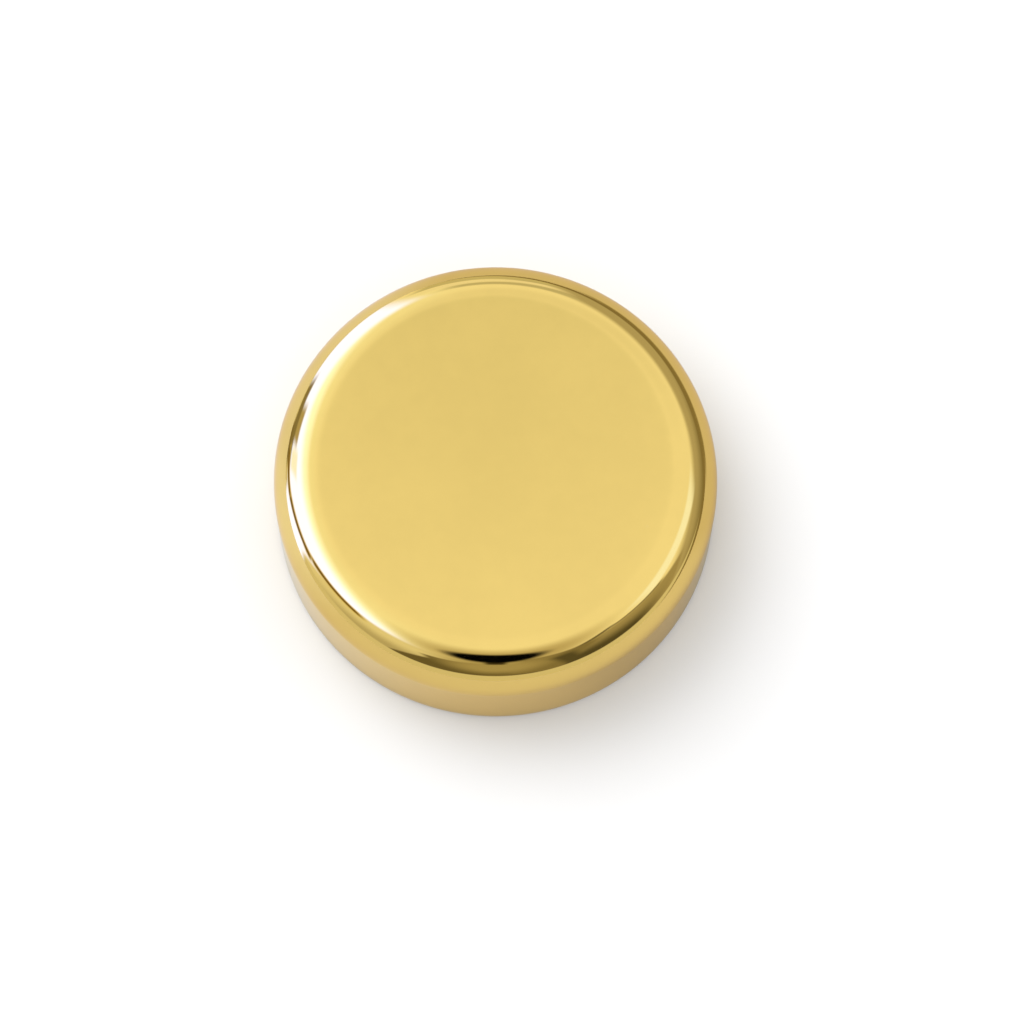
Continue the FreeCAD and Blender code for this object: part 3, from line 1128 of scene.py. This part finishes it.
@dataclass
class Studio:
    """A white table in a soft tent, with its lights, its dark surroundings and the camera.

    aim is how far the camera is turned to the right and down from the button's middle, in degrees. tent is
    the light of the bare tent, and room the even light that falls on the table, with key_fall as its key.
    """

    button: Span
    camera_elevation: float = 74.5
    camera_distance: float = 0.508
    lens: float = 155.0
    sensor: float = 36.0
    aim: tuple[float, float] = (0.2144, 0.3249)
    floor_half: float = 3.0
    tent: Colour = (1.055, 1.055, 1.09)
    cards: Sequence[Card] = field(default_factory=tuple)
    room: Colour = (1.02, 1.02, 1.03)
    key_fall: Card = Card("key_fall", (-33, 27), (25, 25), 0, (0.5, 0.5), (4.0, 4.0, 4.0), CardShape.DISC)

    def build_floor(self) -> None:
        """Lays the pale table, a barely uneven white square that polished metal shows dimmer, in painted
        light and shade.
        """
        h = self.floor_half
        points = np.array([(-h, -h, 0), (h, -h, 0), (h, h, 0), (-h, h, 0)], float)
        table = add_mesh("table", points, [np.array([[0, 1, 2, 3]])])
        made, graph, shader = new_surface("white_table", {"Roughness": 0.9, "Specular IOR Level": 0.0})
        tone = graph.remap(graph.noise(graph.place(), 30.0), 0.3, 0.7)
        direct = graph.mix(tone, (0.80, 0.80, 0.80), (0.81, 0.81, 0.81))
        # Rays off polished metal see the table in its painted light and shade, other rays its plain white.
        polished = graph.add("LightPath").outputs["Is Glossy Ray"]
        graph.feed(shader.inputs["Base Color"], graph.mix(polished, direct, self.mirrored_table_light_and_shade(graph)))
        table.data.materials.append(made)

    def mirrored_table_light_and_shade(self, graph: Graph) -> Socket:
        """The table's colour as the polished metal shows it, with painted light and shade.

        Painted light makes it coolest to the left, under the key, and painted shade makes it warmest to the
        right.
        Round the foot of the button it follows how far across a place is, further out its bearing, and the
        far right corner is painted dark.

        Args:
            graph: the table's graph.

        Returns:
            The colour at the table's own place.
        """
        place = graph.place()
        across = graph.add("SeparateXYZ", {0: place}).outputs[0]
        out = graph.vector("LENGTH", place).outputs["Value"]
        bearing = graph.vector("NORMALIZE", place).outputs[0]
        right, away, _ = graph.add("SeparateXYZ", {0: bearing}).outputs
        front = graph.mix(graph.remap(right, -0.98, -0.80), TABLE_LEFT_PAINTED_LIGHT, TABLE_FRONT_PAINTED_SHADE)
        back = graph.mix(graph.remap(right, -0.55, -0.15), TABLE_LEFT_PAINTED_LIGHT, TABLE_RIGHT_PAINTED_SHADE)
        sides = graph.mix(graph.remap(away, -0.30, -0.05), front, back)
        sides = graph.mix(graph.remap(right, -0.998, -0.94), TABLE_UNDER_KEY_PAINTED_LIGHT, sides)
        # Painted dark shade in the far right corner of the table as polished metal shows it.
        toward = graph.vector("DOT_PRODUCT", bearing, (0.74, 0.67, 0.0)).outputs["Value"]
        beyond = graph.remap(out, 110 * MM, 240 * MM)
        corner = graph.math("MULTIPLY", graph.remap(toward, 0.84, 0.93), beyond)
        far = graph.mix(corner, sides, TABLE_CORNER_PAINTED_SHADE)
        # Painted light on the left and painted shade to the front and right, round the foot of the button.
        near = graph.mix(graph.remap(across, -22 * MM, -4 * MM), FOOT_LEFT_PAINTED_LIGHT, FOOT_FRONT_PAINTED_SHADE)
        near = graph.mix(graph.remap(across, 4 * MM, 20 * MM), near, FOOT_RIGHT_PAINTED_SHADE)
        return graph.mix(graph.remap(out, 26 * MM, 34 * MM), near, far)

    def build_light(self, effects: SharedEffects) -> None:
        """Surrounds the button with the tent and its cards, which only polished metal shows.

        The table takes its light from a plainer room with one soft key. The camera sees a plain backdrop.
        A direction's place on the plane is its lean from straight up, in degrees, along its bearing.

        Args:
            effects: the shared node groups.
        """
        world = bpy.data.worlds.new("tent")
        world.use_nodes = True
        graph = Graph(world.node_tree)
        parts = graph.add("SeparateXYZ", {0: graph.add("TexCoord").outputs["Generated"]}).outputs
        flat = graph.add("CombineXYZ", {0: parts[0], 1: parts[1]}).outputs[0]
        lean = graph.math("MULTIPLY", graph.math("ARCCOSINE", parts[2]), math.degrees(1.0))
        away = graph.vector("NORMALIZE", flat).outputs[0]
        plane = graph.add("VectorMath", {0: away, "Scale": lean}, operation="SCALE").outputs[0]
        light: Socket = graph.add("RGB").outputs[0]
        light.default_value = (*self.tent, 1.0)
        for card in self.cards:
            light = card.over(graph, effects, plane, light)
        reflected = graph.add("Background", {"Color": light}).outputs[0]
        fall: Socket = graph.add("RGB").outputs[0]
        fall.default_value = (*self.room, 1.0)
        fall = self.key_fall.over(graph, effects, plane, fall)
        fallen = graph.add("Background", {"Color": fall}).outputs[0]
        plain = graph.add("Background", {"Color": (*BACKDROP, 1.0)}).outputs[0]
        rays = graph.add("LightPath").outputs
        lit = graph.add("MixShader", {0: rays["Is Glossy Ray"], 1: fallen, 2: reflected}).outputs[0]
        shown = graph.add("MixShader", {0: rays["Is Camera Ray"], 1: lit, 2: plain}).outputs[0]
        graph.add("OutputWorld", {"Surface": shown})
        bpy.context.scene.world = world

    def build_camera(self) -> None:
        """Sets the camera above the near edge of the button, aimed a little beside it."""
        data = bpy.data.cameras.new("camera")
        data.lens = self.lens
        data.sensor_width = self.sensor
        data.clip_start, data.clip_end = 0.01, 50.0
        camera = bpy.data.objects.new("camera", data)
        bpy.context.scene.collection.objects.link(camera)
        middle = Vector((0, 0, (self.button.low + self.button.high) / 2))
        up_angle = math.radians(self.camera_elevation)
        back = Vector((0, -math.cos(up_angle), math.sin(up_angle)))
        place = middle + back * self.camera_distance
        turn = (-back).to_track_quat("-Z", "Y").to_matrix()
        yaw = Matrix.Rotation(-math.radians(self.aim[0]), 3, "Y")
        pitch = Matrix.Rotation(-math.radians(self.aim[1]), 3, "X")
        camera.matrix_world = Matrix.Translation(place) @ (turn @ pitch @ yaw).to_4x4()
        bpy.context.scene.camera = camera

    def build(self, effects: SharedEffects) -> None:
        """Makes the table, the light and the camera, and shows light as it falls.

        Args:
            effects: the shared node groups.
        """
        self.build_floor()
        self.build_light(effects)
        self.build_camera()
        bpy.context.scene.view_settings.view_transform = "Standard"


CARDS = (
    Card("back_shade", (0, 32), (26, 12), 0, (0.6, 0.7), (0.96, 0.96, 0.98), CardShape.DISC),
    Card("top_shade", (-0.4, 19), (3.4, 4.0), 0, (0.9, 0.9), (0.88, 0.88, 0.87), CardShape.DISC),
    Card("left_tent", (-59, 15), (52, 62), 0, (0.12, 0.4), (1.08, 1.12, 1.2)),
    Card("key_glow", (-72, 17), (50, 44), 0, (0.16, 0.12), (1.3, 1.55, 2.4)),
    Card("right_wall", (82, 46), (40, 78), 18, (0.2, 0.3), WALL_SHADE),
    Card("back_right", (46, 72), (30, 36), 50, (0.25, 0.2), WALL_SHADE),
    Card("right_depth", (102, 40), (36, 90), 14, (0.3, 0.3), (0.30, 0.27, 0.20)),
    Card("back_band", (4, 61), (15, 4.5), 0, (0.3, 0.6), (0.62, 0.62, 0.62)),
    Card("back_gleam", (0, 70), (18, 4), 0, (0.3, 0.5), (1.0, 1.0, 1.1)),
    Card("back_table", (-3, 92), (22, 16.5), 0, (0.2, 0.1), (0.66, 0.65, 0.6)),
    Card("fill_box", (42, -1.5), (8, 16.5), -22, (0.35, 0.35), (1.15, 1.3, 1.9)),
    Card("key", (-79.5, 12), (42, 62), 13, (0.22, 0.25), KEY_LIGHT),
    Card("key_back", (-49, 61), (26, 22), -54, (0.3, 0.25), KEY_LIGHT),
    Card("key_corner", (-63, 36), (10, 6.5), -30, (0.25, 0.4), (0.5, 0.45, 0.35)),
    Card("key_corner_low", (-77, 43), (13, 18), -30, (0.2, 0.2), (0.28, 0.25, 0.18)),
    Card("key_corner_sheen", (-61, 22), (9, 4), -20, (0.3, 0.5), (1.2, 1.4, 2.7)),
    Card("front_left", (-59, -48), (50, 27), -20, (0.1, 0.13), (0.88, 0.88, 0.9)),
    Card("front_left_low", (-50, -70), (50, 27), -24, (0.2, 0.4), (0.55, 0.53, 0.5)),
    Card("stand_low_rim", (-53, -21), (14.6, 4.2), -38, (0.2, 0.5), STAND_RIM),
    Card("stand_low", (-53, -21), (14, 2.5), -38, (0.2, 0.5), STAND_SHADE),
    Card("stand_high_rim", (-72, 1), (15.4, 4.8), -65, (0.1, 0.5), STAND_RIM),
    Card("stand_high", (-72, 1), (15, 2.9), -65, (0.1, 0.5), STAND_SHADE),
    Card("stand_top_rim", (-77.5, 22), (4.0, 10.4), 0, (0.5, 0.1), STAND_RIM),
    Card("stand_top", (-77.5, 22), (2.4, 10), 0, (0.5, 0.1), STAND_SHADE),
    Card("camera_shade", (2, -27), (21, 19), 0, (0.5, 0.5), (0.60, 0.55, 0.46), CardShape.DISC),
    Card("right_front", (52, -46), (30, 26), 32, (0.1, 0.1), (0.42, 0.38, 0.30)),
    Card("right_front_low", (38, -68), (40, 22), 30, (0.3, 0.6), (0.10, 0.09, 0.06)),
    Card("right_arch", (27, -31), (2, 7), -28, (0.5, 0.3), (0.2, 0.18, 0.13)),
    Card("right_arch_top", (40, -21.5), (11, 1.6), 30, (0.2, 0.6), (0.3, 0.27, 0.2)),
    Card("front_dark", (2, -64), (26, 21), 0, (0.1, 0.08), (0.18, 0.16, 0.1)),
    Card("front_dark_right", (19, -53), (13, 18), 0, (0.25, 0.12), (0.26, 0.23, 0.16)),
    Card("front_dark_left", (-24, -66), (26, 15), 23, (0.1, 0.1), (0.16, 0.14, 0.09)),
    Card("front_middle", (0, -51), (17, 15), 0, (0.6, 0.6), (0.44, 0.40, 0.30), CardShape.DISC),
    Card("front_seam", (30, -57), (4, 18), 33, (0.6, 0.3), (0.11, 0.10, 0.07)),
    Card("camera_stem", (0, -38), (3, 5), 0, (0.4, 0.3), (0.05, 0.04, 0.02)),
    Card("camera", (0, -27.5), (11.5, 10.5), 0, (0.25, 0.25), (0.0, 0.0, 0.0), CardShape.DISC),
    Card("table_edge", (0, 8), (83, 83), 0, (0.015, 0.015), (0.76, 0.75, 0.74), CardShape.OUTSIDE),
    Card("right_edge", (-16, -11.5), (100, 100), 0, (0.012, 0.012), (0.27, 0.23, 0.15), CardShape.OUTSIDE),
    Card("left_foot", (-80.5, 36), (4.5, 9), -24, (0.3, 0.4), (0.26, 0.22, 0.14)),
    Card("key_on_table", (-88, 0), (12, 15), 25, (0.15, 0.2), KEY_LIGHT),
)


def dress_kept_nodes(effects: SharedEffects) -> None:
    """Gives each CAD node that stays its finish.

    Args:
        effects: the shared node groups.
    """
    finishes = {
        "core_weight": TurnedMetal("turned_steel", (0.42, 0.42, 0.43), 1.0, 0.34),
        "base_plate": PressedBrass("pressed_brass", (0.78, 0.60, 0.30), 1.0, 0.34),
        "shell_liner": FibreCard("fibre_card", (0.32, 0.24, 0.16), 0.0, 0.85),
        "felt_adhesive": AdhesiveFilm("adhesive_film", (0.85, 0.83, 0.76), 0.0, 0.3),
    }
    for node, finish in finishes.items():
        material = finish.material(effects)
        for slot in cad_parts[node].material_slots:
            slot.material = material
        log.info("%s wears %s", node, finish.name)


def main() -> None:
    """Builds the studio and every piece in order, and reports each piece."""
    logging.basicConfig(level=logging.INFO, format="%(message)s")
    effects = SharedEffects()
    cap = Span.of("top_shell")
    Studio(button=Span(cap.radius, 0.0, cap.high), cards=CARDS).build(effects)
    stud = ThreadedStud(Span.of("mounting_stud"))
    nut = Span.of("clamp_nut")
    low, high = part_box("clamp_nut")
    makers = (
        PolishedCap(cap),
        stud,
        SplitWasher(Span.of("spring_washer")),
        HexNut(nut, min(high[0] - low[0], high[1] - low[1]), stud.thread()),
        FeltFoot(Span.of("felt_pad")),
    )
    for maker in makers:
        piece = maker.build(effects)
        log.info("%s: %d faces", piece.name, len(piece.data.polygons))
    dress_kept_nodes(effects)


if __name__ == "__main__":
    main()
